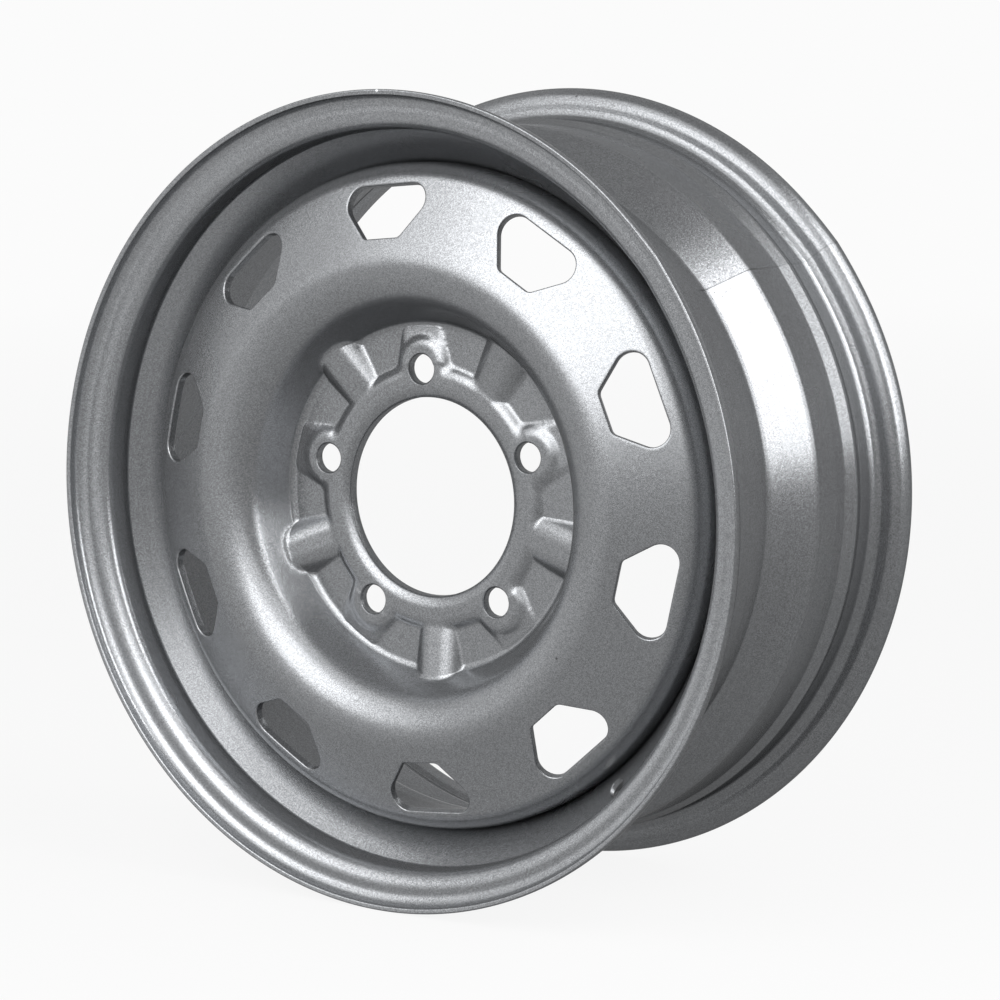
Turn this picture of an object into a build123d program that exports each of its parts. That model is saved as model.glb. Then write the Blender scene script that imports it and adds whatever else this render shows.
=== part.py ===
"""Pressed-steel wheel for a light off-road vehicle: a rolled drop-centre rim, a pressed disc and the weld beads.

The wheel's spin axis is Y, with the street side towards -Y and the wheel's centre at the origin.
Angles are measured about Y, from +X towards +Z, as they appear from the street side.
A section point is (radius, y), drawn in the XY plane and turned about Y.
"""
from math import cos, radians, sin, tan
import os

from build123d import *

# Rim size: 6.5 J x 16 H2, rolled from 2.8 mm strip
RIM_WIDTH = 165.1
RIM_SHEET = 2.8
HEEL_SEAT_RADIUS = 202.9
TOE_SEAT_RADIUS = 201.6
TOE_SEAT_Y = 68.5
HEEL_CORNER = 6.5
CURL_RADIUS = 9.5
CURL_CENTRE_RADIUS = 210.6
CURL_END_ANGLE = 12.0
LIP_EDGE_ROUNDING = 1.2
HUMP_RADIUS = 203.4
HUMP_Y = 63.2
HUMP_FOOT_Y = 54.0
HUMP_ROUNDING = 5.0
SEAT_ROUNDING = 4.0
WELL_RADIUS = 184.0
WELL_OUTBOARD_Y = -41.6
WELL_INBOARD_Y = 1.0
LEDGE_RADIUS = 200.5
LEDGE_START_Y = 24.6
WELL_ROUNDING = 8.0

# Valve hole, square to the outboard slope of the rim
VALVE_HOLE_RADIUS = 5.7
VALVE_HOLE_POINT = (191.0, -54.0)
VALVE_HOLE_ANGLE = -49.1

# Disc: 5 mm sheet, with its mounting face 40 mm outboard of the rim's middle
DISC_SHEET = 5.0
MOUNTING_FACE_Y = -40.0
WALL_FOOT_RADIUS = 95.0
WALL_FOOT_ROUNDING = 5.0
WALL_LEAN = 0.5
CREST_ROUNDING = 25.0
CONE_ANGLE = 19.5
DISC_BEND = 14.0
DISC_FLANGE_END_Y = -20.0

# Hub face: a ring, five bolt bosses and five ribs pressed forward of the mounting pads
PRESSING_HEIGHT = 3.5
SHOULDER_ANGLE = 50.0
SHOULDER_ROUNDING = 8.0
RING_FOOT_RADIUS = 72.5
BOSS_FOOT_RADIUS = 16.8
BOSS_CENTRE_RADIUS = 71.9
BOSS_TAIL_FALL_ANGLE = 9.0
BOSS_TAIL_LENGTH = 34.0
RIB_CORNER_HALF_WIDTH = 9.2
RIB_CREST_ROUNDING = 13.0
RIB_RISE_RADIUS = 72.0
RIB_RISE_ANGLE = 10.6
RIB_START_BACK = 12.0
RIB_LENGTH = 50.0
RIDGE_DEPTH = 14.0

# Holes of the hub face
BLANK_HOLE_RADIUS = 50.0
BORE_RADIUS = 54.3
BORE_ROUNDING = 10.0
BORE_ROUNDING_RADIUS = 61.5
BOLT_COUNT = 5
BOLT_CIRCLE_RADIUS = 139.7 / 2
BOLT_HOLE_RADIUS = 8.0
BOLT_HOLE_CHAMFER = 0.8
FIRST_BOLT_ANGLE = 93.6
FIRST_RIB_ANGLE = FIRST_BOLT_ANGLE + 180 / BOLT_COUNT

# Vents: ten keystone holes, pierced square to the cone of the disc
VENT_COUNT = 10
FIRST_VENT_ANGLE = 94.9
VENT_INNER_POINT = (141.6, -74.7)
VENT_LENGTH = 30.0
VENT_INNER_HALF_WIDTH = 11.2
VENT_OUTER_HALF_WIDTH = 36.4
VENT_INNER_ROUNDING = 4.5
VENT_OUTER_ROUNDING = 9.5

# Weld beads along the inboard edge of the disc's flange
WELD_COUNT = 5
WELD_LEG = 4.5
WELD_CROWN = 0.5
WELD_ARC = 48.0

# Sizes that follow from the ones above
RIM_HALF = RIM_WIDTH / 2
CURL_CENTRE_Y = RIM_HALF + CURL_RADIUS
FLANGE_RADIUS = WELL_RADIUS - RIM_SHEET
PAD_FRONT_Y = MOUNTING_FACE_Y - DISC_SHEET
RING_FRONT_Y = PAD_FRONT_Y - PRESSING_HEIGHT
FORM_BASE_Y = RING_FRONT_Y + BORE_ROUNDING
SHOULDER_RUN = PRESSING_HEIGHT / tan(radians(SHOULDER_ANGLE))
FULL_TURN = 360
CUT_DEPTH = 30.0
CUT_CLEARANCE = 1.0
ZONE_END_Y = -110.0


def point_at(radius, y):
    """A section point, in the XY plane."""
    return Vector(radius, y)


def revolved(section, arc=FULL_TURN):
    """The section turned about the spin axis."""
    return revolve(section, axis=Axis.Y, revolution_arc=arc)


def at_angle(angle, shape):
    """The shape turned about the spin axis, from +X towards +Z."""
    return Rot(0, -angle, 0) * shape


def spaced(shape, count, first_angle):
    """Copies of the shape, evenly spaced round the spin axis."""
    return [at_angle(first_angle + i * FULL_TURN / count, shape) for i in range(count)]


def rim_tyre_line():
    """The tyre side of the rim's section, from the street side's lip to the inboard lip."""
    seat_points = [
        (CURL_CENTRE_RADIUS, -RIM_HALF),
        (HEEL_SEAT_RADIUS, -RIM_HALF),
        (TOE_SEAT_RADIUS, -TOE_SEAT_Y),
        (HUMP_RADIUS, -HUMP_Y),
        (WELL_RADIUS, WELL_OUTBOARD_Y),
        (WELL_RADIUS, WELL_INBOARD_Y),
        (LEDGE_RADIUS, LEDGE_START_Y),
        (LEDGE_RADIUS, HUMP_FOOT_Y),
        (HUMP_RADIUS, HUMP_Y),
        (TOE_SEAT_RADIUS, TOE_SEAT_Y),
        (HEEL_SEAT_RADIUS, RIM_HALF),
        (CURL_CENTRE_RADIUS, RIM_HALF),
    ]
    roundings = [
        HEEL_CORNER,
        SEAT_ROUNDING,
        HUMP_ROUNDING,
        WELL_ROUNDING,
        WELL_ROUNDING,
        WELL_ROUNDING,
        WELL_ROUNDING,
        HUMP_ROUNDING,
        SEAT_ROUNDING,
        HEEL_CORNER,
    ]
    curl_arc = 90 + CURL_END_ANGLE
    street_curl = CenterArc((CURL_CENTRE_RADIUS, -CURL_CENTRE_Y), CURL_RADIUS, -CURL_END_ANGLE, curl_arc)
    barrel = FilletPolyline(*seat_points, radius=roundings)
    inboard_curl = CenterArc((CURL_CENTRE_RADIUS, CURL_CENTRE_Y), CURL_RADIUS, -90, curl_arc)
    return Wire(street_curl.edges() + barrel.edges() + inboard_curl.edges())


def rim():
    """Rolled and butt-welded hoop, with its valve hole."""
    section = make_face(offset(rim_tyre_line(), amount=RIM_SHEET, side=Side.LEFT))
    lip_corners = section.vertices().sort_by(Axis.X)[-4:]
    hoop = revolved(fillet(lip_corners, LIP_EDGE_ROUNDING))
    slope = point_at(WELL_RADIUS, WELL_OUTBOARD_Y) - point_at(HUMP_RADIUS, -HUMP_Y)
    drill_plane = Plane(origin=VALVE_HOLE_POINT, z_dir=slope.rotate(Axis.Z, 90))
    drill = extrude(drill_plane * Circle(VALVE_HOLE_RADIUS), amount=CUT_DEPTH / 2, both=True)
    return hoop - at_angle(VALVE_HOLE_ANGLE, drill)


def disc_front_line():
    """The street side of the disc's section, from inside the bore to the end of its flange."""
    vent_radius, vent_y = VENT_INNER_POINT
    cone_rise = tan(radians(CONE_ANGLE))
    foot = point_at(WALL_FOOT_RADIUS, PAD_FRONT_Y)
    cone_y_at_foot = vent_y - cone_rise * (vent_radius - WALL_FOOT_RADIUS)
    crest_height = (PAD_FRONT_Y - cone_y_at_foot) / (1 + cone_rise * WALL_LEAN)
    crest = foot + Vector(WALL_LEAN * crest_height, -crest_height)
    bend = point_at(FLANGE_RADIUS, vent_y + cone_rise * (FLANGE_RADIUS - vent_radius))
    return FilletPolyline(
        point_at(BLANK_HOLE_RADIUS, PAD_FRONT_Y),
        foot,
        crest,
        bend,
        point_at(FLANGE_RADIUS, DISC_FLANGE_END_Y),
        radius=[WALL_FOOT_ROUNDING, CREST_ROUNDING, DISC_BEND],
    )


def street_side():
    """The space on the street side of the middle of the disc's sheet."""
    middle = Wire(offset(disc_front_line(), amount=DISC_SHEET / 2, side=Side.LEFT, closed=False).edges())
    inner, outer = sorted([middle.position_at(0), middle.position_at(1)], key=lambda end: end.X)
    far_side = Polyline(outer, point_at(outer.X, ZONE_END_Y), point_at(inner.X, ZONE_END_Y), inner)
    return revolved(make_face(middle.edges() + far_side.edges()))


def hub_ring(depth, corner_inset):
    """The ring round the bore, rolled back at the bore and leaning at its outer side."""
    top_y = RING_FRONT_Y + depth
    corner = RING_FOOT_RADIUS - SHOULDER_RUN - corner_inset
    foot = corner + (FORM_BASE_Y - top_y) / tan(radians(SHOULDER_ANGLE))
    roll = CenterArc((BORE_ROUNDING_RADIUS, FORM_BASE_Y), BORE_ROUNDING - depth, 180, 90)
    front = FilletPolyline(
        roll @ 1,
        (corner, top_y),
        (foot, FORM_BASE_Y),
        roll @ 0,
        radius=[SHOULDER_ROUNDING - depth, 0],
    )
    return revolved(make_face(roll.edges() + front.edges()))


def ridge(start, slope_angle, corner, rounding, length, depth):
    """A straight ridge from the start point, outwards and rising towards the street by the slope angle."""
    foot = corner + RIDGE_DEPTH / tan(radians(SHOULDER_ANGLE))
    base = -depth - RIDGE_DEPTH
    outline = FilletPolyline(
        (-foot, base),
        (-corner, -depth),
        (corner, -depth),
        (foot, base),
        radius=[0, rounding - depth, rounding - depth, 0],
        close=True,
    )
    slope = radians(slope_angle)
    ridge_plane = Plane(origin=start, x_dir=(0, 0, 1), z_dir=(cos(slope), -sin(slope), 0))
    return extrude(ridge_plane * make_face(outline), amount=length)


def bolt_boss(depth, corner_inset):
    """The round boss behind which a bolt hole is pierced, with its tail that falls to the foot of the wall."""
    top_y = RING_FRONT_Y + depth
    corner = BOSS_FOOT_RADIUS - SHOULDER_RUN - corner_inset
    foot = corner + (FORM_BASE_Y - top_y) / tan(radians(SHOULDER_ANGLE))
    outline = FilletPolyline(
        (0, FORM_BASE_Y),
        (0, top_y),
        (corner, top_y),
        (foot, FORM_BASE_Y),
        radius=[0, SHOULDER_ROUNDING - depth, 0, 0],
        close=True,
    )
    boss = Pos(BOSS_CENTRE_RADIUS, 0, 0) * revolved(make_face(outline))
    tail_start = point_at(BOSS_CENTRE_RADIUS, RING_FRONT_Y)
    return boss + ridge(tail_start, -BOSS_TAIL_FALL_ANGLE, corner, SHOULDER_ROUNDING, BOSS_TAIL_LENGTH, depth)


def hub_rib(depth, corner_inset):
    """The rib that climbs from the ring to the disc's wall."""
    rise = radians(RIB_RISE_ANGLE)
    start = point_at(RIB_RISE_RADIUS, RING_FRONT_Y) - Vector(cos(rise), -sin(rise), 0) * RIB_START_BACK
    corner = RIB_CORNER_HALF_WIDTH - corner_inset
    return ridge(start, RIB_RISE_ANGLE, corner, RIB_CREST_ROUNDING, RIB_LENGTH, depth)


def pressed_forms(depth):
    """Ring, bosses and ribs of the hub face, with their surfaces set back by the depth."""
    corner_inset = depth * tan(radians(SHOULDER_ANGLE / 2))
    bosses = spaced(bolt_boss(depth, corner_inset), BOLT_COUNT, FIRST_BOLT_ANGLE)
    ribs = spaced(hub_rib(depth, corner_inset), BOLT_COUNT, FIRST_RIB_ANGLE)
    return hub_ring(depth, corner_inset) + bosses + ribs


def bolt_hole():
    """A bolt hole's drill at +X, with its chamfer on the street side."""
    chamfer_end = BOLT_HOLE_RADIUS + BOLT_HOLE_CHAMFER + CUT_CLEARANCE
    outline = Polyline(
        (0, RING_FRONT_Y - CUT_CLEARANCE),
        (chamfer_end, RING_FRONT_Y - CUT_CLEARANCE),
        (BOLT_HOLE_RADIUS, RING_FRONT_Y + BOLT_HOLE_CHAMFER),
        (BOLT_HOLE_RADIUS, FORM_BASE_Y),
        (0, FORM_BASE_Y),
        close=True,
    )
    return Pos(BOLT_CIRCLE_RADIUS, 0, 0) * revolved(make_face(outline))


def vent_punch():
    """A vent's punch at +X, square to the cone of the disc."""
    outline = Polyline(
        (0, -VENT_INNER_HALF_WIDTH),
        (VENT_LENGTH, -VENT_OUTER_HALF_WIDTH),
        (VENT_LENGTH, VENT_OUTER_HALF_WIDTH),
        (0, VENT_INNER_HALF_WIDTH),
        close=True,
    )
    keystone = make_face(outline)
    keystone = fillet(keystone.vertices().group_by(Axis.X)[0], VENT_INNER_ROUNDING)
    keystone = fillet(keystone.vertices().group_by(Axis.X)[-1], VENT_OUTER_ROUNDING)
    cone = radians(CONE_ANGLE)
    punch_plane = Plane(
        origin=point_at(*VENT_INNER_POINT),
        x_dir=(cos(cone), sin(cone), 0),
        z_dir=(sin(cone), -cos(cone), 0),
    )
    return extrude(punch_plane * keystone, amount=CUT_DEPTH / 2, both=True)


def disc():
    """Pressed disc: hub face, wall, crest, vented cone and the flange that fits the rim's well."""
    sheet = revolved(make_face(offset(disc_front_line(), amount=DISC_SHEET, side=Side.LEFT)))
    pressed = sheet + (pressed_forms(0) & street_side()) - pressed_forms(DISC_SHEET)
    bore = Rot(90, 0, 0) * Cylinder(BORE_RADIUS, 4 * CUT_DEPTH)
    bolt_holes = spaced(bolt_hole(), BOLT_COUNT, FIRST_BOLT_ANGLE)
    vents = spaced(vent_punch(), VENT_COUNT, FIRST_VENT_ANGLE)
    return pressed - bore - bolt_holes - vents


def weld_beads():
    """Fillet welds in the corner between the flange's inboard end and the rim's well."""
    corner = point_at(FLANGE_RADIUS, DISC_FLANGE_END_Y)
    disc_toe = corner - Vector(WELD_LEG, 0)
    rim_toe = corner + Vector(0, WELD_LEG)
    crown = SagittaArc(disc_toe, rim_toe, WELD_CROWN)
    section = make_face(Polyline(rim_toe, corner, disc_toe).edges() + crown.edges())
    bead = at_angle(WELD_ARC / 2, revolved(section, WELD_ARC))
    return Compound(children=spaced(bead, WELD_COUNT, FIRST_RIB_ANGLE))


def write_parts():
    """Write one file for each piece."""
    os.makedirs("parts", exist_ok=True)
    export_step(rim(), "parts/rim.step")
    export_step(disc(), "parts/disc.step")
    export_step(weld_beads(), "parts/weld_beads.step")


write_parts()
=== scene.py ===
# Painted pressed-steel wheel: a rolled rim, a pressed disc and the weld beads that join them
from math import atan2, ceil, cos, hypot, pi, radians, sin, sqrt, tan

import bmesh
import bpy
from mathutils import Matrix, Vector
from mathutils.bvhtree import BVHTree


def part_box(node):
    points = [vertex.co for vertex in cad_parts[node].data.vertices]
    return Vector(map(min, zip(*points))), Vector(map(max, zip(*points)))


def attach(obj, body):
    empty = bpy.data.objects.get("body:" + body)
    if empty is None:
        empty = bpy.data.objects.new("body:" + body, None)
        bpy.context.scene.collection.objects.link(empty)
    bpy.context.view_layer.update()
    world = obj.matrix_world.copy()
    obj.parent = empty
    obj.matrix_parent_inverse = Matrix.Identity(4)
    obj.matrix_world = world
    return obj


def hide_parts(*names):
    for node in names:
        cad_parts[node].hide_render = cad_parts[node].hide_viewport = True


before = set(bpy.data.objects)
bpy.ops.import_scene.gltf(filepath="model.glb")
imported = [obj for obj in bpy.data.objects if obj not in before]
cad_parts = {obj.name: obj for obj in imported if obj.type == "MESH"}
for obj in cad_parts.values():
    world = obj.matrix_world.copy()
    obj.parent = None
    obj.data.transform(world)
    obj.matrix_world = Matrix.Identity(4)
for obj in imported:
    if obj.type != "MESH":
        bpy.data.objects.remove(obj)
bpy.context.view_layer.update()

BODY = "root"

# Rim section, in metres: a point is (radius, y), with the street side towards -Y
RIM_LOW, RIM_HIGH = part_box("rim")
CURL_RADIUS = 0.0095
CURL_CENTRE_RADIUS = RIM_HIGH.x - CURL_RADIUS
CURL_END = radians(12)
RIM_HALF = 0.08255
RIM_SHEET = 0.0028
HEEL_SEAT_RADIUS = 0.2029
TOE_SEAT_RADIUS = 0.2016
TOE_SEAT_Y = 0.0685
HEEL_CORNER = 0.0065
SEAT_ROUNDING = 0.004
HUMP_RADIUS = 0.2034
HUMP_Y = 0.0632
HUMP_FOOT_Y = 0.054
HUMP_ROUNDING = 0.005
WELL_RADIUS = 0.184
WELL_OUTBOARD_Y = -0.0416
WELL_INBOARD_Y = 0.001
LEDGE_RADIUS = 0.2005
LEDGE_START_Y = 0.0246
WELL_ROUNDING = 0.008
LIP_ROUNDING = 0.0013
RIM_STEPS = 308

# Butt weld that closes the hoop: the sheet peaks slightly there, with a crease along the weld
SEAM_ANGLE = radians(38.5)
SEAM_PEAK = 0.0006
SEAM_REACH = radians(8)
SEAM_CREASE = radians(0.1)
SEAM_CUT_RADIUS = 0.95 * WELL_RADIUS
# A dark line along the weld: partly its own mark, partly painted shade in the crease
SEAM_LINE_HALF = 0.0002
SEAM_LINE_EDGE = 0.0005
SEAM_LINE_AND_CREASE_SHADE = 0.42
SEAM_TRACE_AND_CREASE_SHADE = 0.75
SEAM_LINE_START_Y = -0.002
SEAM_LINE_END_Y = 0.028
SEAM_LINE_FADE = 0.006

# Valve hole, square to the outboard slope of the rim
VALVE_POINT = (0.191, -0.054)
VALVE_RADIUS = 0.0057
VALVE_ANGLE = radians(-49.1)
VALVE_EDGE = 0.0003
VALVE_STEPS = 40
VALVE_MARGIN = 0.0008
VALVE_REACH = 0.01

# Disc section
DISC_SHEET = 0.005
PAD_FRONT_Y = -0.045
WALL_FOOT_RADIUS = 0.095
WALL_FOOT_ROUNDING = 0.005
WALL_LEAN = 0.5
CREST_ROUNDING = 0.025
CONE_ANGLE = radians(19.5)
DISC_BEND = 0.014
DISC_FLANGE_RADIUS = WELL_RADIUS - RIM_SHEET
DISC_FLANGE_END_Y = -0.020
FLANGE_EDGE = 0.0005
DISC_STEPS = 220

# Hub face: a ring, five bosses and five ribs stand forward of the mounting pads
PRESS_HEIGHT = 0.0035
RING_FRONT_Y = PAD_FRONT_Y - PRESS_HEIGHT
SHOULDER_ANGLE = radians(50)
SHOULDER_ROUNDING = 0.008
SHOULDER_RUN = PRESS_HEIGHT / tan(SHOULDER_ANGLE)
RING_FOOT = 0.0725
RING_CORNER = RING_FOOT - SHOULDER_RUN
BOSS_FOOT = 0.0168
BOSS_CORNER = BOSS_FOOT - SHOULDER_RUN
BOSS_CENTRE_RADIUS = 0.0719
BOSS_TAIL_FALL = radians(9)
RIB_CORNER = 0.0092
RIB_CREST_ROUNDING = 0.013
RIB_RISE_RADIUS = 0.072
RIB_RISE = radians(10.6)
FOOT_BLEND = 0.0014
PLAN_BLEND = 0.0045
RIDGE_BLEND = 0.0014
HUB_END_RADIUS = 0.1047
HUB_ROW = 0.0011

# Holes of the hub face
BORE_RADIUS = 0.0543
BORE_ROLL = 0.010
BORE_ROLL_RADIUS = 0.0615
BORE_BACK_Y = -0.040
BORE_EDGE = 0.0004
BORE_MIDDLE_Y = -0.0435
BORE_FLAT_RADIUS = 0.0567
BORE_WALL_FRONT = BORE_RADIUS + 0.0002
BORE_WALL_BACK = BORE_RADIUS + 0.003
BOLT_COUNT = 5
BOLT_CIRCLE_RADIUS = 0.06985
BOLT_RADIUS = 0.008
BOLT_CHAMFER = 0.0008
FIRST_BOLT = radians(93.6)
FIRST_RIB = FIRST_BOLT + pi / BOLT_COUNT
BOLT_COLLAR_RADIUS = 0.0098
BOLT_COLLAR_STEPS = 64
BOLT_COLLAR_RINGS = 2
BOLT_MARGIN = 0.0004
BOLT_EDGE_REACH = 0.001

# Vents: keystone holes, pierced square to the cone of the disc
VENT_COUNT = 10
FIRST_VENT = radians(94.9)
VENT_POINT = (0.1416, -0.0747)
VENT_LENGTH = 0.030
VENT_INNER_HALF = 0.0112
VENT_OUTER_HALF = 0.0364
VENT_INNER_ROUNDING = 0.0045
VENT_OUTER_ROUNDING = 0.0095
VENT_FLARE = (VENT_OUTER_HALF - VENT_INNER_HALF) / VENT_LENGTH
VENT_EDGE = 0.0009
VENT_REACH = 0.012
VENT_ZONE = (0.13, 0.18)
VENT_ZONE_Y = -0.05
HOLE_COLLAR = 0.0018
COLLAR_MARGIN = 0.0009
SIDE_MARGIN = 1.3 * COLLAR_MARGIN

# Weld beads in the corner between the disc's flange and the rim
BEAD_COUNT = 5
BEAD_LEG = 0.0045
BEAD_CROWN = 0.0006
BEAD_ARC = radians(48)
RIPPLE_PITCH = 0.0014
RIPPLE_HEIGHT = 0.00044
RIPPLE_MIDDLE = 0.4
RIPPLE_BOW = 1.6
RIPPLE_STEPS = 4
BEAD_END_SIZE = 0.35
BEAD_FACE_CUTS = 5

# Paint
PAINT_COLOUR = (0.275, 0.282, 0.292)
PAINT_METALLIC = 0.8
PAINT_ROUGHNESS = 0.27
EDGE_TINT = 0.45
# Painted light and shade: the rim's side that faces the axis is lighter, its tyre side darker, where the
# coat is also thinner
TYRE_SIDE_PAINTED_SHADE = 0.85
INNER_SIDE_PAINTED_LIGHT = 1.22
SIDE_TURN = 0.3
FLAKE_SIZE = 0.00045
FLAKE_TILT = 0.03
FLAKE_CONTRAST = 0.27
PEEL_SIZE = 0.0035
PEEL_DEPTH = 0.00002
CLOUD_SCALE = 14.0
CLOUD_TONE = 0.025
CLOUD_ROUGHNESS = 0.01
ROLLING_LINE_SIZE = 0.0015
ROLLING_LINE_TONE = 0.04
ROLLING_LINE_DEPTH = 0.35
NOISE_RANGE = (0.3, 0.7)
NORMAL_WEIGHT = 50

# Specks and nicks in the paint: angle, y, radius, size and how far they darken or lighten it
RIM_MARKS = [
    (radians(37.5), 0.0042, 0.1867, 0.0006, 0.45),
    (radians(36.3), 0.0066, 0.1882, 0.0005, 0.45),
    (radians(36.8), 0.0092, 0.1901, 0.0006, 0.4),
    (radians(36.7), 0.0018, 0.1851, 0.0005, 0.5),
    (radians(39.2), 0.0070, 0.1885, 0.0007, 0.4),
    (radians(39.3), 0.0100, 0.1905, 0.0006, 0.45),
    (radians(87.6), 0.0840, 0.2156, 0.0009, 0.35),
    (radians(90.0), -0.0939, 0.2193, 0.0011, 3.2),
]
DISC_MARKS = [(radians(-35.8), -0.0783, 0.1273, 0.0009, 0.4)]

# Camera: its angle, place and lens as fitted to the circles of the wheel
CAMERA_AZIMUTH = radians(34.375)
CAMERA_ELEVATION = radians(7.001)
CAMERA_PLACE = (1.0782, -1.5555, 0.2261)
CAMERA_LENS = 123.9
SENSOR_WIDTH = 36

# Studio
PAPER_WHITE = 0.965
FLOOR_REACH = 30.0
FLOOR_SHADE = 0.045
FLOOR_NEAR = 1.0
FLOOR_FAR = 5.0
FLOOR_NEAR_GLOW = 0.895
FLOOR_FAR_GLOW = 0.945
FLOOR_LEFT = -0.4
FLOOR_RIGHT = 0.4
FLOOR_LEFT_GLOW = 0.64
FLOOR_RIGHT_GLOW = 0.36
DARK_AZIMUTH = radians(105)
DARK_ELEVATION = radians(-10)
DARK_SIDE = 0.3
REAR_SIDE = 0.48
OVERHEAD = 0.22

# How far a direction has to lean to the dark side, back or up, from where a shade starts to where it is full
DARK_LEAN = (0.1, 0.75)
REAR_LEAN = (0.1, 0.7)
HORIZON_LEAN = (0.18, 0.4)
OVERHEAD_LEAN = (0.5, 0.9)

# Area lamps: name, azimuth, elevation, distance, the angles filled across and up, and radiance
LAMPS = [
    ("key_wide", radians(0), radians(42), 1.6, (radians(78), radians(64)), 1.42),
    ("key_core", radians(-4), radians(30), 1.55, (radians(38), radians(41)), 2.2),
    ("right_strip", radians(81), radians(31), 1.6, (radians(18), radians(52)), 6.0),
    ("right_fill", radians(106), radians(33), 1.6, (radians(36), radians(54)), 3.2),
]

# Meshes: the steps they are divided in, and how near or sharp counts as the same or an edge
ARC_STEP = radians(5.5)
DISC_ROW = 0.0035
RIM_ROW = 0.008
RAY_START = 0.02
SHARP_ANGLE = radians(60)
EDGE_REACH = 0.0005
SAME_PLACE = 1e-6


# Mesh helpers

def around(angle):
    """A turn about the wheel's axis, from +X towards +Z."""
    return Matrix.Rotation(-angle, 4, "Y")


def spaced(first, count):
    """Angles spaced evenly round the wheel."""
    return [first + index * 2 * pi / count for index in range(count)]


def rounded_chain(bm, corners, roundings, closed=False):
    """Edges through the corners in the XY plane, where each corner is turned as a true arc."""
    points = [Vector((*corner, 0)) for corner in corners]
    chain = []
    for index, (corner, rounding) in enumerate(zip(points, roundings)):
        if rounding == 0:
            chain.append(bm.verts.new(corner))
            continue
        to_before = (points[index - 1] - corner).normalized()
        to_after = (points[(index + 1) % len(points)] - corner).normalized()
        turn = pi - to_before.angle(to_after)
        start = bm.verts.new(corner + to_before * rounding * tan(turn / 2))
        centre = corner + (to_before + to_after).normalized() * rounding / cos(turn / 2)
        chain += spun_arc(bm, start, centre, to_after.cross(to_before), turn)
    pairs = list(zip(chain, chain[1:]))
    if closed:
        pairs.append((chain[-1], chain[0]))
    for pair in pairs:
        if not bm.edges.get(pair):
            bm.edges.new(pair)
    return chain


def spun_arc(bm, start, centre, axis, turn):
    """The vertex spun into an arc about the centre, with the arc's vertices in order."""
    known = len(bm.verts)
    bmesh.ops.spin(bm, geom=[start], cent=centre, axis=axis, angle=turn, steps=max(2, ceil(turn / ARC_STEP)))
    bm.verts.ensure_lookup_table()
    return [start] + bm.verts[known:]


def divide(bm, edges, longest):
    """Edges longer than the limit are cut into equal lengths under it."""
    for edge in edges:
        cuts = ceil(edge.calc_length() / longest) - 1
        if cuts > 0:
            bmesh.ops.subdivide_edges(bm, edges=[edge], cuts=cuts)


def spin_full(bm, steps):
    """The section in the bmesh turned once about the wheel's axis."""
    section = bm.verts[:] + bm.edges[:]
    bmesh.ops.spin(
        bm, geom=section, cent=(0, 0, 0), axis=(0, 1, 0), angle=2 * pi, steps=steps, use_merge=True,
    )
    bmesh.ops.remove_doubles(bm, verts=bm.verts[:], dist=SAME_PLACE)


def face_towards(bm, outward):
    """All faces turned alike, so that the first one's normal agrees with what outward gives for it."""
    bmesh.ops.recalc_face_normals(bm, faces=bm.faces[:])
    bm.faces.ensure_lookup_table()
    probe = bm.faces[0]
    if probe.normal.dot(outward(probe.calc_center_median())) < 0:
        bmesh.ops.reverse_faces(bm, faces=bm.faces[:])


def from_axis(point):
    """The direction away from the wheel's axis."""
    return Vector((point.x, 0, point.z))


def towards_street(point):
    return Vector((0, -1, 0))


def plane_along(across, up):
    """A turn whose X runs along the first direction and whose Z is square to both, away from the axis."""
    normal = across.cross(up)
    if normal.x < 0:
        normal = -normal
    return Matrix((across, normal.cross(across), normal)).transposed().to_4x4()


def open_edges(bm):
    return {edge for edge in bm.edges if edge.is_boundary}


def pierce(bm, place, covers, collar):
    """A hole in the sheet: covered faces go, and the collar is laid on the sheet and bridged to it."""
    sheet = BVHTree.FromBMesh(bm)
    to_local = place.inverted()
    normal = place.to_3x3() @ Vector((0, 0, 1))
    lost = {face for vert in bm.verts if covers(to_local @ vert.co) for face in vert.link_faces}
    edges_before = open_edges(bm)
    bmesh.ops.delete(bm, geom=list(lost), context="FACES")
    gap = open_edges(bm) - edges_before
    verts_before = set(bm.verts)
    bm.from_mesh(collar)
    laid = [vert for vert in bm.verts if vert not in verts_before]
    bmesh.ops.transform(bm, matrix=place, verts=laid)
    for vert in laid:
        vert.co = sheet.ray_cast(vert.co + normal * RAY_START, -normal)[0]
    bmesh.ops.bridge_loops(bm, edges=list(gap) + outer_loop(laid))


def as_mesh(bm, name):
    mesh = bpy.data.meshes.new(name)
    bm.to_mesh(mesh)
    bm.free()
    return mesh


def new_object(name, data):
    """An object in the scene, at the origin."""
    thing = bpy.data.objects.new(name, data)
    bpy.context.scene.collection.objects.link(thing)
    return thing


def outer_loop(collar):
    """The longer of the collar's two open loops."""
    loops = []
    left = {edge for vert in collar for edge in vert.link_edges if edge.is_boundary}
    while left:
        loop = [left.pop()]
        grown = True
        while grown:
            grown = [e for v in loop[-1].verts for e in v.link_edges if e in left][:1]
            left -= set(grown)
            loop += grown
        loops.append(loop)
    return max(loops, key=lambda loop: sum(edge.calc_length() for edge in loop))


def edges_where(bm, test):
    """Sharp edges whose middle passes the test."""
    sharp = [edge for edge in bm.edges if edge.is_manifold and edge.calc_face_angle() > SHARP_ANGLE]
    return [edge for edge in sharp if test((edge.verts[0].co + edge.verts[1].co) / 2)]


def round_edges(bm, edges, width, segments):
    bmesh.ops.bevel(
        bm, geom=edges, offset=width, offset_type="OFFSET", segments=segments,
        profile=0.5, affect="EDGES", material=-1, clamp_overlap=True,
    )


def to_object(bm, name):
    """A finished piece at the origin, smooth shaded."""
    for face in bm.faces:
        face.smooth = True
    return new_object(name, as_mesh(bm, name))


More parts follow.
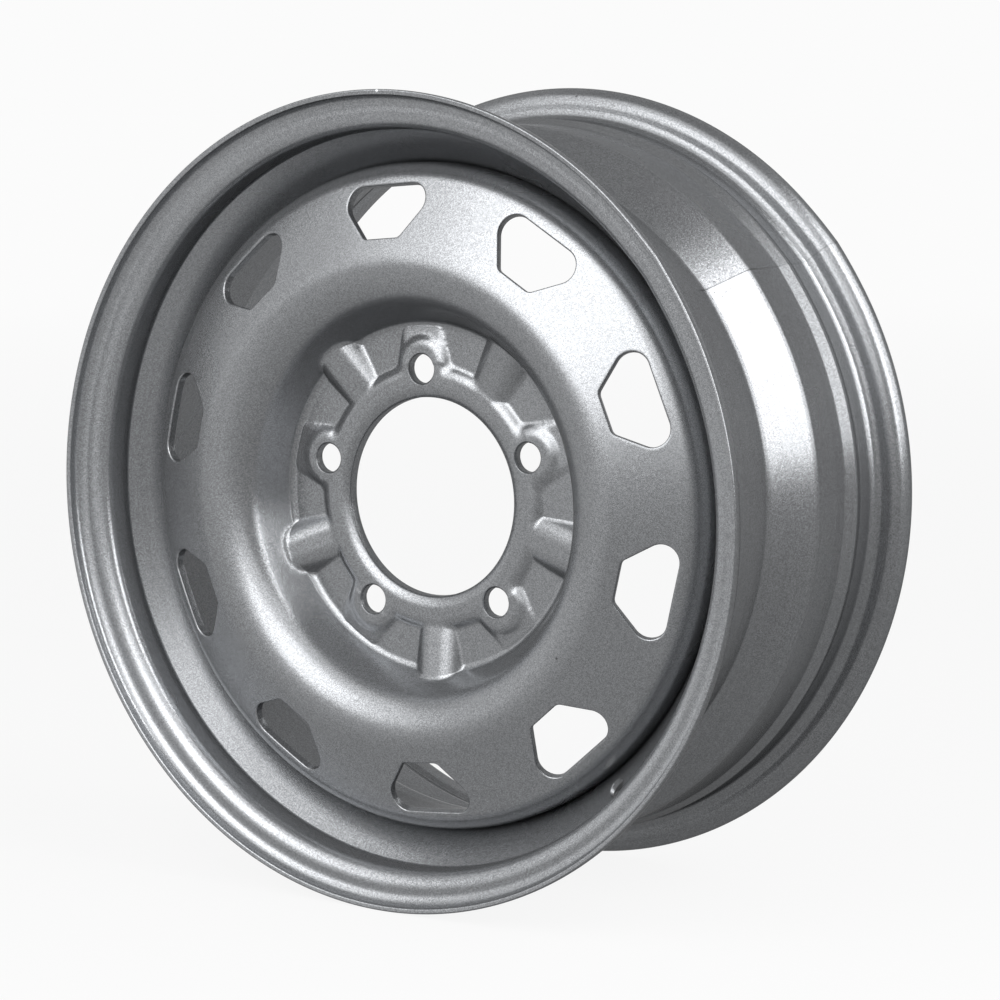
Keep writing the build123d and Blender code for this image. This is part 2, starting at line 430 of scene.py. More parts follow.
def thickened(bm, thickness):
    """The sheet given its thickness on the side away from its normals."""
    shell = as_mesh(bm, "shell")
    carrier = new_object("shell", shell)
    wall = carrier.modifiers.new("wall", "SOLIDIFY")
    wall.thickness = thickness
    wall.offset = -1
    wall.use_even_offset = False
    wall.use_quality_normals = True
    depsgraph = bpy.context.evaluated_depsgraph_get()
    solid = bmesh.new()
    solid.from_object(carrier, depsgraph)
    bpy.data.objects.remove(carrier)
    bpy.data.meshes.remove(shell)
    return solid


def weigh_normals(piece):
    """Large faces lead the shading, so small roundings stay crisp."""
    weighted = piece.modifiers.new("weighted_normals", "WEIGHTED_NORMAL")
    weighted.mode = "FACE_AREA"
    weighted.weight = NORMAL_WEIGHT
    weighted.keep_sharp = False


# Rim

def rim_section(bm):
    """The tyre side of the rim, from the street side's lip to the inboard lip."""
    barrel = [
        (CURL_CENTRE_RADIUS, -RIM_HALF),
        (HEEL_SEAT_RADIUS, -RIM_HALF),
        (TOE_SEAT_RADIUS, -TOE_SEAT_Y),
        (HUMP_RADIUS, -HUMP_Y),
        (WELL_RADIUS, WELL_OUTBOARD_Y),
        (WELL_RADIUS, WELL_INBOARD_Y),
        (LEDGE_RADIUS, LEDGE_START_Y),
        (LEDGE_RADIUS, HUMP_FOOT_Y),
        (HUMP_RADIUS, HUMP_Y),
        (TOE_SEAT_RADIUS, TOE_SEAT_Y),
        (HEEL_SEAT_RADIUS, RIM_HALF),
        (CURL_CENTRE_RADIUS, RIM_HALF),
    ]
    bead_half = [HEEL_CORNER, SEAT_ROUNDING, HUMP_ROUNDING]
    roundings = [0, *bead_half, *[WELL_ROUNDING] * 4, *reversed(bead_half), 0]
    chain = rounded_chain(bm, barrel, roundings)
    curl = pi / 2 + CURL_END
    curl_y = RIM_HALF + CURL_RADIUS
    spun_arc(bm, chain[0], Vector((CURL_CENTRE_RADIUS, -curl_y, 0)), (0, 0, -1), curl)
    spun_arc(bm, chain[-1], Vector((CURL_CENTRE_RADIUS, curl_y, 0)), (0, 0, 1), curl)
    divide(bm, bm.edges[:], RIM_ROW)


def cut_across(bm, angle):
    """A row of vertices across the sheet at the angle."""
    outward = around(angle) @ Vector((1, 0, 0))
    faces = [face for face in bm.faces if face.calc_center_median().dot(outward) > SEAM_CUT_RADIUS]
    edges = list({edge for face in faces for edge in face.edges})
    verts = list({vert for face in faces for vert in face.verts})
    geom = verts + edges + faces
    square = around(angle) @ Vector((0, 0, 1))
    bmesh.ops.bisect_plane(bm, geom=geom, dist=SAME_PLACE, plane_co=(0, 0, 0), plane_no=square)


def peak_seam(bm):
    """The sheet raised to a low crest along the butt weld, with a crease on either side of it."""
    cut_across(bm, SEAM_ANGLE - SEAM_CREASE)
    cut_across(bm, SEAM_ANGLE + SEAM_CREASE)
    for vert in bm.verts:
        away = abs(atan2(vert.co.z, vert.co.x) - SEAM_ANGLE) / SEAM_REACH
        if away < 1:
            stretch = 1 + SEAM_PEAK * (1 - away) ** 2 / radius_of(vert)
            vert.co.x *= stretch
            vert.co.z *= stretch


def valve_collar():
    """A ring of faces round the valve hole."""
    bm = bmesh.new()
    outer = bmesh.ops.create_circle(bm, segments=VALVE_STEPS, radius=VALVE_RADIUS + HOLE_COLLAR)["verts"]
    edges = list({edge for vert in outer for edge in vert.link_edges})
    ring = bmesh.ops.extrude_edge_only(bm, edges=edges)["geom"]
    inner = [item for item in ring if isinstance(item, bmesh.types.BMVert)]
    bmesh.ops.scale(bm, vec=(VALVE_RADIUS / (VALVE_RADIUS + HOLE_COLLAR),) * 3, verts=inner)
    return as_mesh(bm, "valve_collar")


def make_rim():
    """Rolled hoop with its valve hole."""
    bm = bmesh.new()
    rim_section(bm)
    spin_full(bm, RIM_STEPS)
    peak_seam(bm)
    face_towards(bm, from_axis)
    slope = Vector((WELL_RADIUS - HUMP_RADIUS, WELL_OUTBOARD_Y + HUMP_Y, 0)).normalized()
    valve_point = Matrix.Translation((*VALVE_POINT, 0))
    place = around(VALVE_ANGLE) @ valve_point @ plane_along(slope, Vector((0, 0, 1)))
    reach = VALVE_RADIUS + HOLE_COLLAR + VALVE_MARGIN
    pierce(bm, place, lambda p: hypot(p.x, p.y) < reach and abs(p.z) < VALVE_REACH, valve_collar())
    bm = thickened(bm, RIM_SHEET)
    centre = place.translation
    valve_edges = edges_where(bm, lambda p: (p - centre).length < 2 * VALVE_RADIUS)
    round_edges(bm, valve_edges, VALVE_EDGE, segments=2)
    lips = edges_where(bm, lambda p: abs(p.y) > RIM_HALF)
    round_edges(bm, lips, LIP_ROUNDING, segments=5)
    piece = to_object(bm, "rim_painted")
    weigh_normals(piece)
    return piece


# Disc

def disc_section(bm):
    """The street side of the disc, from the bore to the end of its flange."""
    vent_radius, vent_y = VENT_POINT
    rise = tan(CONE_ANGLE)
    cone_y_at_foot = vent_y - rise * (vent_radius - WALL_FOOT_RADIUS)
    crest_height = (PAD_FRONT_Y - cone_y_at_foot) / (1 + rise * WALL_LEAN)
    corners = [
        (BORE_RADIUS, PAD_FRONT_Y),
        (WALL_FOOT_RADIUS, PAD_FRONT_Y),
        (WALL_FOOT_RADIUS + WALL_LEAN * crest_height, PAD_FRONT_Y - crest_height),
        (DISC_FLANGE_RADIUS, vent_y + rise * (DISC_FLANGE_RADIUS - vent_radius)),
        (DISC_FLANGE_RADIUS, DISC_FLANGE_END_Y),
    ]
    rounded_chain(bm, corners, [0, WALL_FOOT_ROUNDING, CREST_ROUNDING, DISC_BEND, 0])
    hub = [edge for edge in bm.edges if max(vert.co.x for vert in edge.verts) <= HUB_END_RADIUS]
    divide(bm, hub, HUB_ROW)
    divide(bm, bm.edges[:], DISC_ROW)


def shoulder_y(beyond_corner, rounding):
    """How far a pressed form falls away, at a distance beyond the corner of its outline."""
    along = beyond_corner + rounding * tan(SHOULDER_ANGLE / 2)
    if along <= 0:
        return 0
    if along < rounding * sin(SHOULDER_ANGLE):
        return rounding - sqrt(rounding ** 2 - along ** 2)
    return tan(SHOULDER_ANGLE) * beyond_corner


def ridge_y(along, across, start, rise, corner, rounding):
    """The surface of a straight ridge that rises outwards from the start radius."""
    top = RING_FRONT_Y - tan(rise) * (along - start)
    return top + shoulder_y(across - corner, rounding) / cos(rise)


def along_and_across(x, z, angle):
    """A place measured outwards along the direction, and to its side."""
    return x * cos(angle) + z * sin(angle), abs(z * cos(angle) - x * sin(angle))


def blended_min(first, second, blend):
    """The lower value, with a soft change from one to the other."""
    overlap = max(blend - abs(first - second), 0)
    return min(first, second) - overlap ** 2 / (4 * blend)


def pressed_y(x, z, sheet_y):
    """The street side's surface with the ring, bosses and ribs; the roll into the bore takes no blend."""
    radius = hypot(x, z)
    beyond = radius - RING_CORNER
    ridges_y = sheet_y
    for bolt, rib in zip(spaced(FIRST_BOLT, BOLT_COUNT), spaced(FIRST_RIB, BOLT_COUNT)):
        along, across = along_and_across(x, z, bolt)
        beyond = blended_min(beyond, hypot(along - BOSS_CENTRE_RADIUS, across) - BOSS_CORNER, PLAN_BLEND)
        if along > BOSS_CENTRE_RADIUS:
            tail = (BOSS_CENTRE_RADIUS, -BOSS_TAIL_FALL, BOSS_CORNER, SHOULDER_ROUNDING)
            ridges_y = min(ridges_y, ridge_y(along, across, *tail))
        along, across = along_and_across(x, z, rib)
        rib_y = ridge_y(along, across, RIB_RISE_RADIUS, RIB_RISE, RIB_CORNER, RIB_CREST_ROUNDING)
        ridges_y = min(ridges_y, rib_y)
    roll = max(BORE_ROLL_RADIUS - radius, 0)
    rolled_y = BORE_ROLL - sqrt(BORE_ROLL ** 2 - roll ** 2)
    ring_y = RING_FRONT_Y + shoulder_y(beyond, SHOULDER_ROUNDING) + rolled_y
    if roll > 0:
        return ring_y
    forms_y = blended_min(ring_y, ridges_y, RIDGE_BLEND) if ridges_y < sheet_y else ring_y
    return blended_min(forms_y, sheet_y, FOOT_BLEND)


def press_hub(bm):
    for vert in bm.verts:
        if radius_of(vert) < HUB_END_RADIUS:
            vert.co.y = pressed_y(vert.co.x, vert.co.z, vert.co.y)


def bolt_collar():
    """Rings of faces round a bolt hole."""
    bm = bmesh.new()
    radius = BOLT_COLLAR_RADIUS
    verts = bmesh.ops.create_circle(bm, segments=BOLT_COLLAR_STEPS, radius=radius)["verts"]
    edges = list({edge for vert in verts for edge in vert.link_edges})
    for step in range(BOLT_COLLAR_RINGS):
        smaller = radius - (BOLT_COLLAR_RADIUS - BOLT_RADIUS) / BOLT_COLLAR_RINGS
        ring = bmesh.ops.extrude_edge_only(bm, edges=edges)["geom"]
        verts = [item for item in ring if isinstance(item, bmesh.types.BMVert)]
        edges = [item for item in ring if isinstance(item, bmesh.types.BMEdge)]
        edges = [edge for edge in edges if set(edge.verts) <= set(verts)]
        bmesh.ops.scale(bm, vec=(smaller / radius,) * 3, verts=verts)
        radius = smaller
    return as_mesh(bm, "bolt_collar")


def vent_half_width(along):
    return VENT_INNER_HALF + VENT_FLARE * along + HOLE_COLLAR * hypot(1, VENT_FLARE)


def in_cut_corner(along, across):
    """True in the corner outside the rounding at a vent's wide end."""
    radius = VENT_OUTER_ROUNDING + HOLE_COLLAR
    centre_along = VENT_LENGTH + HOLE_COLLAR - radius
    beyond_along = along - centre_along
    beyond_across = across - vent_half_width(centre_along) + radius * hypot(1, VENT_FLARE)
    in_corner = beyond_across > 0 and beyond_along + VENT_FLARE * beyond_across > 0
    return in_corner and hypot(beyond_along, beyond_across) > radius + COLLAR_MARGIN


def vent_covers(point):
    """True over a vent, its collar and a little more."""
    along, across = point.x, abs(point.y)
    in_length = -HOLE_COLLAR - COLLAR_MARGIN < along < VENT_LENGTH + HOLE_COLLAR + COLLAR_MARGIN
    in_width = across < vent_half_width(along) + SIDE_MARGIN and abs(point.z) < VENT_REACH
    return in_length and in_width and not in_cut_corner(along, across)


def vent_collar():
    """A ring of faces round the keystone outline."""
    bm = bmesh.new()
    inner_x = -HOLE_COLLAR
    outer_x = VENT_LENGTH + HOLE_COLLAR
    corners = [
        (inner_x, -vent_half_width(inner_x)),
        (outer_x, -vent_half_width(outer_x)),
        (outer_x, vent_half_width(outer_x)),
        (inner_x, vent_half_width(inner_x)),
    ]
    inner = VENT_INNER_ROUNDING + HOLE_COLLAR
    outer = VENT_OUTER_ROUNDING + HOLE_COLLAR
    rounded_chain(bm, corners, [inner, outer, outer, inner], closed=True)
    divide(bm, bm.edges[:], DISC_ROW)
    keystone = bmesh.ops.contextual_create(bm, geom=bm.edges[:])["faces"]
    bmesh.ops.inset_region(
        bm, faces=keystone, thickness=HOLE_COLLAR, use_boundary=True, use_even_offset=True,
    )
    bmesh.ops.delete(bm, geom=keystone, context="FACES_ONLY")
    return as_mesh(bm, "vent_collar")


def open_bore(bm):
    """The bore's wall, straight and coined flat at the back."""
    wall = [face for face in bm.faces if is_bore_wall(face)]
    edges_before = open_edges(bm)
    bmesh.ops.delete(bm, geom=wall, context="FACES_ONLY")
    loops = open_edges(bm) - edges_before
    back = [edge for edge in loops if edge.verts[0].co.y > BORE_MIDDLE_Y]
    front = [edge for edge in loops if edge not in back]
    for radius in (BORE_FLAT_RADIUS, BORE_RADIUS):
        geom = bmesh.ops.extrude_edge_only(bm, edges=back)["geom"]
        for vert in [item for item in geom if isinstance(item, bmesh.types.BMVert)]:
            flat = Vector((vert.co.x, 0, vert.co.z)).normalized() * radius
            vert.co = (flat.x, BORE_BACK_Y, flat.z)
        back = [item for item in geom if isinstance(item, bmesh.types.BMEdge)]
    bmesh.ops.bridge_loops(bm, edges=back + front)


def is_bore_wall(face):
    """True for a face that joins the sheet's two sides at the bore."""
    radii = [radius_of(vert) for vert in face.verts]
    return min(radii) < BORE_WALL_FRONT and max(radii) > BORE_WALL_BACK


def radius_of(vert):
    return hypot(vert.co.x, vert.co.z)


def is_hub_hoop(edge):
    """True for an edge of the hub face that runs round the axis."""
    first, second = edge.verts
    level = abs(first.co.y - second.co.y) < SAME_PLACE
    round_axis = abs(radius_of(first) - radius_of(second)) < SAME_PLACE
    return level and round_axis and max(radius_of(first), radius_of(second)) < HUB_END_RADIUS


def pierce_bolt_holes(bm):
    centre = Matrix.Translation((BOLT_CIRCLE_RADIUS, PAD_FRONT_Y, 0))
    flat = Matrix(((1, 0, 0), (0, 0, -1), (0, 1, 0))).to_4x4()
    collar = bolt_collar()
    reach = BOLT_COLLAR_RADIUS + BOLT_MARGIN
    for angle in spaced(FIRST_BOLT, BOLT_COUNT):
        pierce(bm, around(angle) @ centre @ flat, lambda p: hypot(p.x, p.y) < reach, collar)


def pierce_vents(bm):
    inner_end = Matrix.Translation((*VENT_POINT, 0))
    cone = Matrix((
        (cos(CONE_ANGLE), 0, sin(CONE_ANGLE)),
        (sin(CONE_ANGLE), 0, -cos(CONE_ANGLE)),
        (0, 1, 0),
    )).to_4x4()
    collar = vent_collar()
    for angle in spaced(FIRST_VENT, VENT_COUNT):
        pierce(bm, around(angle) @ inner_end @ cone, vent_covers, collar)


def is_bolt_edge(point):
    """True at the front edge of a bolt hole."""
    reach = BOLT_RADIUS + BOLT_EDGE_REACH
    centre = Vector((BOLT_CIRCLE_RADIUS, 0, 0))
    centres = [around(angle) @ centre for angle in spaced(FIRST_BOLT, BOLT_COUNT)]
    beside_hole = any(hypot(point.x - centre.x, point.z - centre.z) < reach for centre in centres)
    return beside_hole and point.y < PAD_FRONT_Y


def is_vent_edge(point):
    """True at the front and back edges of a vent."""
    nearest, furthest = VENT_ZONE
    return nearest < hypot(point.x, point.z) < furthest and point.y < VENT_ZONE_Y


def is_bore_edge(point):
    return abs(hypot(point.x, point.z) - BORE_RADIUS) < EDGE_REACH


def is_flange_edge(point):
    return point.y > DISC_FLANGE_END_Y - EDGE_REACH


def make_disc():
    """Pressed sheet with its bore, bolt holes and vents."""
    bm = bmesh.new()
    disc_section(bm)
    spin_full(bm, DISC_STEPS)
    face_towards(bm, towards_street)
    hoops = [edge for edge in bm.edges if is_hub_hoop(edge)]
    bmesh.ops.subdivide_edges(bm, edges=hoops, cuts=1, use_grid_fill=True)
    pierce_bolt_holes(bm)
    pierce_vents(bm)
    press_hub(bm)
    face_towards(bm, towards_street)
    bm = thickened(bm, DISC_SHEET)
    open_bore(bm)
    round_edges(bm, edges_where(bm, is_vent_edge), VENT_EDGE, segments=3)
    round_edges(bm, edges_where(bm, is_bolt_edge), BOLT_CHAMFER, segments=1)
    round_edges(bm, edges_where(bm, is_bore_edge), BORE_EDGE, segments=2)
    round_edges(bm, edges_where(bm, is_flange_edge), FLANGE_EDGE, segments=2)
    piece = to_object(bm, "disc_painted")
    weigh_normals(piece)
    return piece


# Weld beads

def bead_section(bm):
    """A fillet weld's section: the corner it fills and its crowned face."""
    corner = Vector((DISC_FLANGE_RADIUS, DISC_FLANGE_END_Y, 0))
    disc_toe = corner - Vector((BEAD_LEG, 0, 0))
    rim_toe = corner + Vector((0, BEAD_LEG, 0))
    face_edge = bm.edges.new((bm.verts.new(disc_toe), bm.verts.new(rim_toe)))
    bmesh.ops.subdivide_edges(bm, edges=[face_edge], cuts=BEAD_FACE_CUTS)
    outward = Vector((-1, 1, 0)).normalized()
    for vert in bm.verts:
        along = (vert.co - disc_toe).length / (rim_toe - disc_toe).length
        vert.co += outward * BEAD_CROWN * 4 * along * (1 - along)
    heel = bm.verts.new(corner)
    ends = [vert for vert in bm.verts if len(vert.link_edges) == 1]
    for end in ends:
        bm.edges.new((end, heel))


def ripple(bm):
    """The bead's face raised in the overlapping scales of a welding pass, and tapered at both ends."""
    for vert in bm.verts:
        angle = atan2(vert.co.z, vert.co.x)
        height_in_corner = DISC_FLANGE_RADIUS - radius_of(vert) + vert.co.y - DISC_FLANGE_END_Y
        if height_in_corner < BEAD_LEG / 2:
            continue
        across = (vert.co.y - DISC_FLANGE_END_Y) / BEAD_LEG - 0.5
        phase = (angle * DISC_FLANGE_RADIUS / RIPPLE_PITCH + RIPPLE_BOW * across ** 2) % 1
        end_distance = min(angle, BEAD_ARC - angle) * DISC_FLANGE_RADIUS
        taper = min(1, BEAD_END_SIZE + (1 - BEAD_END_SIZE) * end_distance / BEAD_LEG)
        height = RIPPLE_HEIGHT * (phase ** 2 - RIPPLE_MIDDLE) * (1 - 4 * across ** 2)
        corner = around(angle) @ Vector((DISC_FLANGE_RADIUS, DISC_FLANGE_END_Y, 0))
        from_corner = vert.co - corner
        vert.co = corner + from_corner * (taper + height / BEAD_LEG)


def make_beads():
    """Five rippled fillet welds."""
    bead = bmesh.new()
    bead_section(bead)
    steps = ceil(BEAD_ARC * DISC_FLANGE_RADIUS / RIPPLE_PITCH * RIPPLE_STEPS)
    section = bead.verts[:] + bead.edges[:]
    bmesh.ops.spin(bead, geom=section, cent=(0, 0, 0), axis=(0, -1, 0), angle=BEAD_ARC, steps=steps)
    bmesh.ops.holes_fill(bead, edges=[edge for edge in bead.edges if edge.is_boundary], sides=0)
    ripple(bead)
    bmesh.ops.recalc_face_normals(bead, faces=bead.faces[:])
    bead_mesh = as_mesh(bead, "bead")
    bm = bmesh.new()
    for angle in spaced(FIRST_RIB, BEAD_COUNT):
        verts_before = set(bm.verts)
        bm.from_mesh(bead_mesh)
        laid = [vert for vert in bm.verts if vert not in verts_before]
        bmesh.ops.transform(bm, matrix=around(angle - BEAD_ARC / 2), verts=laid)
    return to_object(bm, "beads_painted")


# Paint

def linked(tree, kind, **inputs):
    """A node of the kind, with its named inputs set or linked."""
    node = tree.nodes.new(kind)
    for name, value in inputs.items():
        connect(tree, node.inputs[name.replace("_", " ")], value)
    return node


def connect(tree, socket, value):
    if isinstance(value, bpy.types.NodeSocket):
        tree.links.new(value, socket)
    else:
        socket.default_value = value


def maths(tree, operation, first, second=0.0):
    node = tree.nodes.new("ShaderNodeMath")
    node.operation = operation
    connect(tree, node.inputs[0], first)
    connect(tree, node.inputs[1], second)
    return node.outputs[0]


def vector_maths(tree, operation, first, second):
    node = tree.nodes.new("ShaderNodeVectorMath")
    node.operation = operation
    connect(tree, node.inputs[0], first)
    if operation == "SCALE":
        connect(tree, node.inputs["Scale"], second)
    else:
        connect(tree, node.inputs[1], second)
    return node.outputs[0]


def ramp(tree, value, low, high, low_to=0.0, high_to=1.0):
    """The value remapped from one range to another, and held at the ends."""
    node = linked(tree, "ShaderNodeMapRange", Value=value, From_Min=low, From_Max=high)
    connect(tree, node.inputs["To Min"], low_to)
    connect(tree, node.inputs["To Max"], high_to)
    return node.outputs[0]


def varied(tree, noise, middle, reach):
    """A value that strays from the middle with the noise, by the reach at most."""
    return ramp(tree, noise, *NOISE_RANGE, middle - reach, middle + reach)


def measured(tree, operation, first, second=(0, 0, 0)):
    """The number that a vector operation gives."""
    node = tree.nodes.new("ShaderNodeVectorMath")
    node.operation = operation
    connect(tree, node.inputs[0], first)
    connect(tree, node.inputs[1], second)
    return node.outputs["Value"]


def painted_side_light_and_shade(tree, place):
    """Painted light and shade: the rim is painted lighter on the side that faces the axis and darker on the
    tyre's side, where its coat is also thinner.
    """
    outward = vector_maths(tree, "MULTIPLY", place, (1 / WELL_RADIUS, 0, 1 / WELL_RADIUS))
    normal = tree.nodes.new("ShaderNodeNewGeometry").outputs["Normal"]
    facing = measured(tree, "DOT_PRODUCT", outward, normal)
    return ramp(tree, facing, -SIDE_TURN, SIDE_TURN, INNER_SIDE_PAINTED_LIGHT, TYRE_SIDE_PAINTED_SHADE)


def seam_line_and_crease_shade(tree, place):
    """A thin dark line along the butt weld, partly the weld's own mark and partly painted shade in its
    crease, clearest over the well and the slope beside it.
    """
    across = measured(tree, "DOT_PRODUCT", place, around(SEAM_ANGLE) @ Vector((0, 0, 1)))
    outward = measured(tree, "DOT_PRODUCT", place, around(SEAM_ANGLE) @ Vector((1, 0, 0)))
    y = linked(tree, "ShaderNodeSeparateXYZ", Vector=place).outputs["Y"]
    start = ramp(tree, y, SEAM_LINE_START_Y - SEAM_LINE_FADE, SEAM_LINE_START_Y, 1.0, SEAM_LINE_AND_CREASE_SHADE)
    end = ramp(tree, y, SEAM_LINE_END_Y, SEAM_LINE_END_Y + SEAM_LINE_FADE, SEAM_LINE_AND_CREASE_SHADE, SEAM_TRACE_AND_CREASE_SHADE)
    darkest = maths(tree, "MAXIMUM", start, end)
    line = ramp(tree, maths(tree, "ABSOLUTE", across), SEAM_LINE_HALF, SEAM_LINE_EDGE, darkest, 1.0)
    return maths(tree, "MAXIMUM", line, maths(tree, "LESS_THAN", outward, 0.0))


def mark_shade(tree, place, mark):
    """A speck or nick at its place on the piece."""
    angle, y, radius, size, shade = mark
    away = measured(tree, "DISTANCE", place, around(angle) @ Vector((radius, y, 0)))
    return ramp(tree, away, size / 2, size, shade, 1.0)


def rolling_lines(tree, place):
    """Fine lines that run round the rim and vary only across its section."""
    radius = measured(tree, "LENGTH", vector_maths(tree, "MULTIPLY", place, (1, 0, 1)))
    y = linked(tree, "ShaderNodeSeparateXYZ", Vector=place).outputs["Y"]
    section = linked(tree, "ShaderNodeCombineXYZ", X=radius, Y=y).outputs[0]
    noise = linked(tree, "ShaderNodeTexNoise", Vector=section, Scale=1 / ROLLING_LINE_SIZE, Detail=2.0)
    return noise.outputs[0]


def new_material(name):
    """A material with its node tree and its shader."""
    material = bpy.data.materials.new(name)
    material.use_nodes = True
    return material, material.node_tree, material.node_tree.nodes["Principled BSDF"]


def silver_paint(name, marks=(), rolled=False):
    """Silver-grey metallic paint: flakes that tilt and twinkle under a thin, slightly uneven clear film."""
    material, tree, shader = new_material(name)
    place = tree.nodes.new("ShaderNodeTexCoord").outputs["Object"]
    flakes = linked(tree, "ShaderNodeTexVoronoi", Vector=place, Scale=1 / FLAKE_SIZE)
    random = vector_maths(tree, "SUBTRACT", flakes.outputs["Color"], (0.5, 0.5, 0.5))
    tilt = vector_maths(tree, "SCALE", random, FLAKE_TILT)
    relief = linked(tree, "ShaderNodeTexNoise", Vector=place, Scale=1 / PEEL_SIZE, Detail=1.0).outputs[0]
    cloud = linked(tree, "ShaderNodeTexNoise", Vector=place, Scale=CLOUD_SCALE, Detail=3.0).outputs[0]
    grain = linked(tree, "ShaderNodeSeparateColor", Color=flakes.outputs["Color"]).outputs[0]
    shades = [
        ramp(tree, grain, 0.0, 1.0, 1 - FLAKE_CONTRAST, 1 + FLAKE_CONTRAST),
        varied(tree, cloud, 1, CLOUD_TONE),
    ]
    shades += [mark_shade(tree, place, mark) for mark in marks]
    if rolled:
        lines = rolling_lines(tree, place)
        shades.append(varied(tree, lines, 1, ROLLING_LINE_TONE))
        # Painted light and shade on the rim's two sides, and a dark line along the weld with painted shade
        # in its crease
        shades += [painted_side_light_and_shade(tree, place), seam_line_and_crease_shade(tree, place)]
        relief = maths(tree, "ADD", relief, maths(tree, "MULTIPLY", lines, ROLLING_LINE_DEPTH))
    film = linked(tree, "ShaderNodeBump", Height=relief, Distance=PEEL_DEPTH, Strength=1.0)
    normal = vector_maths(tree, "NORMALIZE", vector_maths(tree, "ADD", film.outputs[0], tilt), (0, 0, 0))
    value = shades[0]
    for shade in shades[1:]:
        value = maths(tree, "MULTIPLY", value, shade)
    colour = vector_maths(tree, "SCALE", PAINT_COLOUR, value)
    connect(tree, shader.inputs["Base Color"], colour)
    connect(tree, shader.inputs["Normal"], normal)
    shader.inputs["Metallic"].default_value = PAINT_METALLIC
    shader.inputs["Specular Tint"].default_value = (EDGE_TINT, EDGE_TINT, EDGE_TINT, 1)
    connect(tree, shader.inputs["Roughness"], varied(tree, cloud, PAINT_ROUGHNESS, CLOUD_ROUGHNESS))
    return material


# Camera, floor and light

def make_camera():
    data = bpy.data.cameras.new("camera")
    data.lens = CAMERA_LENS
    data.sensor_width = SENSOR_WIDTH
    camera = new_object("camera", data)
    flat = cos(CAMERA_ELEVATION)
    back = Vector((sin(CAMERA_AZIMUTH) * flat, -cos(CAMERA_AZIMUTH) * flat, sin(CAMERA_ELEVATION)))
    right = Vector((cos(CAMERA_AZIMUTH), sin(CAMERA_AZIMUTH), 0))
    up = back.cross(right)
    turn = Matrix((right, up, back)).transposed().to_4x4()
    camera.matrix_world = Matrix.Translation(CAMERA_PLACE) @ turn
    bpy.context.scene.camera = camera


def towards(azimuth, elevation):
    """A direction, where azimuth 0 is the street side and 90 degrees is +X."""
    flat = cos(elevation)
    return Vector((sin(azimuth) * flat, -cos(azimuth) * flat, sin(elevation)))


def softbox(name, azimuth, elevation, distance, spread, radiance):
    """An area lamp that faces the wheel and fills the given angles across and up."""
    data = bpy.data.lights.new(name, "AREA")
    data.shape = "RECTANGLE"
    data.size = 2 * distance * tan(spread[0] / 2)
    data.size_y = 2 * distance * tan(spread[1] / 2)
    data.energy = radiance * pi * data.size * data.size_y
    lamp = new_object(name, data)
    lamp.location = towards(azimuth, elevation) * distance
    lamp.rotation_euler = towards(azimuth, elevation).to_track_quat("Z", "Y").to_euler()
    lamp.visible_camera = False


def seen_by(tree, *kinds):
    """One for rays of these kinds, and otherwise zero."""
    rays = tree.nodes.new("ShaderNodeLightPath")
    seen = rays.outputs[kinds[0]]
    for kind in kinds[1:]:
        seen = maths(tree, "MAXIMUM", seen, rays.outputs[kind])
    return seen


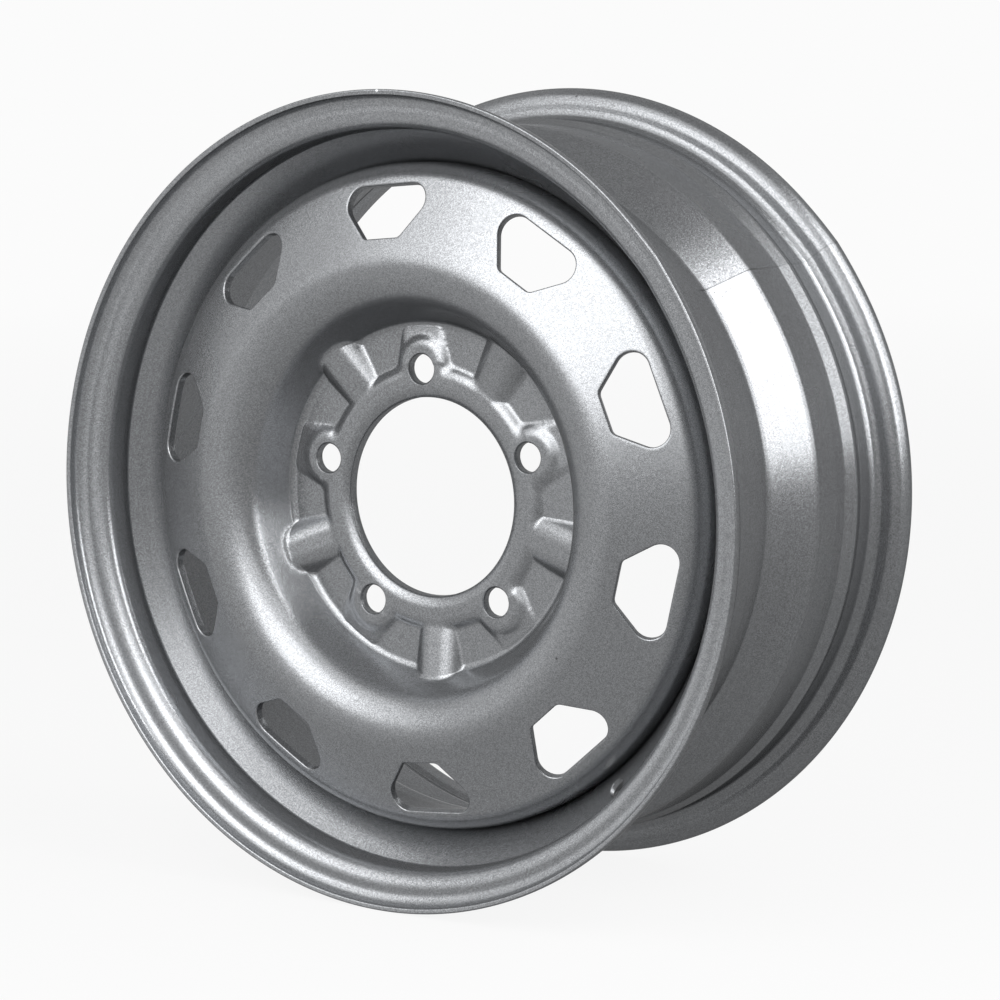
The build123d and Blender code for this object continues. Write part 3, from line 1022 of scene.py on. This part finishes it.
def make_floor():
    """Paper, white to the eye, greyer to the right in reflections, with the wheel's shadow on it."""
    bm = bmesh.new()
    bmesh.ops.create_grid(bm, x_segments=1, y_segments=1, size=FLOOR_REACH)
    bmesh.ops.translate(bm, vec=(0, 0, RIM_LOW.z), verts=bm.verts[:])
    floor = to_object(bm, "floor")
    material, tree, shader = new_material("pale_paper")
    shader.inputs["Base Color"].default_value = (FLOOR_SHADE, FLOOR_SHADE, FLOOR_SHADE, 1)
    shader.inputs["Roughness"].default_value = 1.0
    shader.inputs["Specular IOR Level"].default_value = 0.0
    shader.inputs["Emission Color"].default_value = (1, 1, 1, 1)
    place = tree.nodes.new("ShaderNodeTexCoord").outputs["Object"]
    away = measured(tree, "LENGTH", place)
    white = ramp(tree, away, FLOOR_NEAR, FLOOR_FAR, FLOOR_NEAR_GLOW, FLOOR_FAR_GLOW)
    to_right = linked(tree, "ShaderNodeSeparateXYZ", Vector=place).outputs["X"]
    reflected = ramp(tree, to_right, FLOOR_LEFT, FLOOR_RIGHT, FLOOR_LEFT_GLOW, FLOOR_RIGHT_GLOW)
    to_eye = maths(tree, "MULTIPLY", seen_by(tree, "Is Camera Ray"), white)
    to_metal = maths(tree, "MULTIPLY", seen_by(tree, "Is Glossy Ray", "Is Transmission Ray"), reflected)
    connect(tree, shader.inputs["Emission Strength"], maths(tree, "MAXIMUM", to_eye, to_metal))
    floor.data.materials.append(material)


def make_world():
    """White to the eye, and greyer in reflections behind, overhead and on the unlit right side."""
    world = bpy.data.worlds.new("studio")
    world.use_nodes = True
    bpy.context.scene.world = world
    tree = world.node_tree
    direction = tree.nodes.new("ShaderNodeTexCoord").outputs["Object"]
    right = measured(tree, "DOT_PRODUCT", direction, towards(DARK_AZIMUTH, DARK_ELEVATION))
    right_side = ramp(tree, right, *DARK_LEAN, 1.0, DARK_SIDE)
    parts = linked(tree, "ShaderNodeSeparateXYZ", Vector=direction).outputs
    behind = ramp(tree, parts["Y"], *REAR_LEAN)
    above_horizon = ramp(tree, parts["Z"], *HORIZON_LEAN)
    unlit_rear = maths(tree, "MULTIPLY", maths(tree, "MULTIPLY", behind, above_horizon), 1 - REAR_SIDE)
    overhead = ramp(tree, parts["Z"], *OVERHEAD_LEAN, 1.0, OVERHEAD)
    rear_side = maths(tree, "SUBTRACT", 1.0, unlit_rear)
    level = maths(tree, "MULTIPLY", right_side, maths(tree, "MINIMUM", rear_side, overhead))
    level = maths(tree, "MULTIPLY", level, PAPER_WHITE)
    to_eye = maths(tree, "MULTIPLY", seen_by(tree, "Is Camera Ray"), PAPER_WHITE)
    connect(tree, tree.nodes["Background"].inputs["Strength"], maths(tree, "MAXIMUM", level, to_eye))
    tree.nodes["Background"].inputs["Color"].default_value = (1, 1, 1, 1)


make_camera()
pieces = {"rim": make_rim(), "disc": make_disc(), "weld_beads": make_beads()}
paints = {
    "rim": silver_paint("rim_paint", RIM_MARKS, rolled=True),
    "disc": silver_paint("disc_paint", DISC_MARKS),
    "weld_beads": silver_paint("weld_paint"),
}
for node, piece in pieces.items():
    piece.data.materials.append(paints[node])
    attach(piece, BODY)
    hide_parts(node)
make_floor()
make_world()
for lamp in LAMPS:
    softbox(*lamp)
bpy.context.scene.view_settings.view_transform = "Standard"
